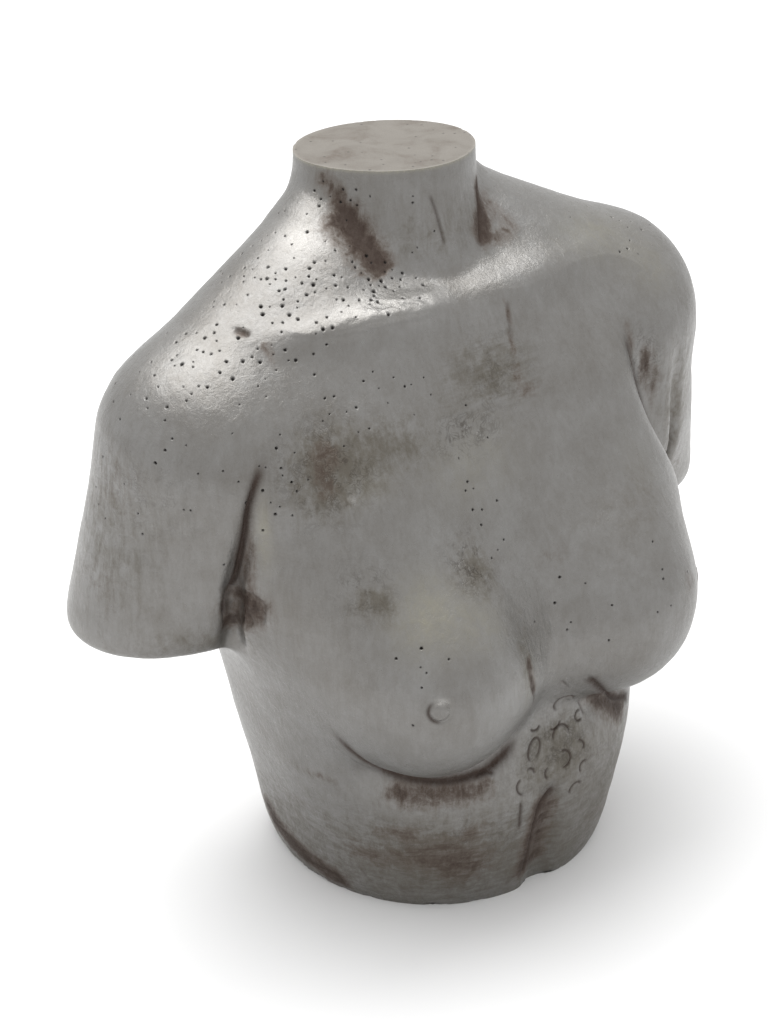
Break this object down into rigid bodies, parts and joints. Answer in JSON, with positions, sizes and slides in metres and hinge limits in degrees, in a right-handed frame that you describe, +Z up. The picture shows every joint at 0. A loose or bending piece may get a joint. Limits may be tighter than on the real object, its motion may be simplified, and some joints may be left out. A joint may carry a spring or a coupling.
{
  "type": "female bust",
  "caption": "Life cast of a woman's torso from the cut neck to the waist, arms ending above the elbow, standing on its flat underside.",
  "frame": {"origin": "on the flat underside, under the neck, at the middle of the trunk", "axes": "+Z up from the underside to the neck cut, -Y is the front of the body, +X is her left side"},
  "size_m": [0.4476, 0.2517, 0.4394],
  "materials": {
    "silver_cast": "satin silver-grey metallic paint over cast plaster, with a brown wash left in the hollows"
  },
  "bodies": {
    "root": {"torso_cast": "silver_cast"}
  },
  "joints": []
}
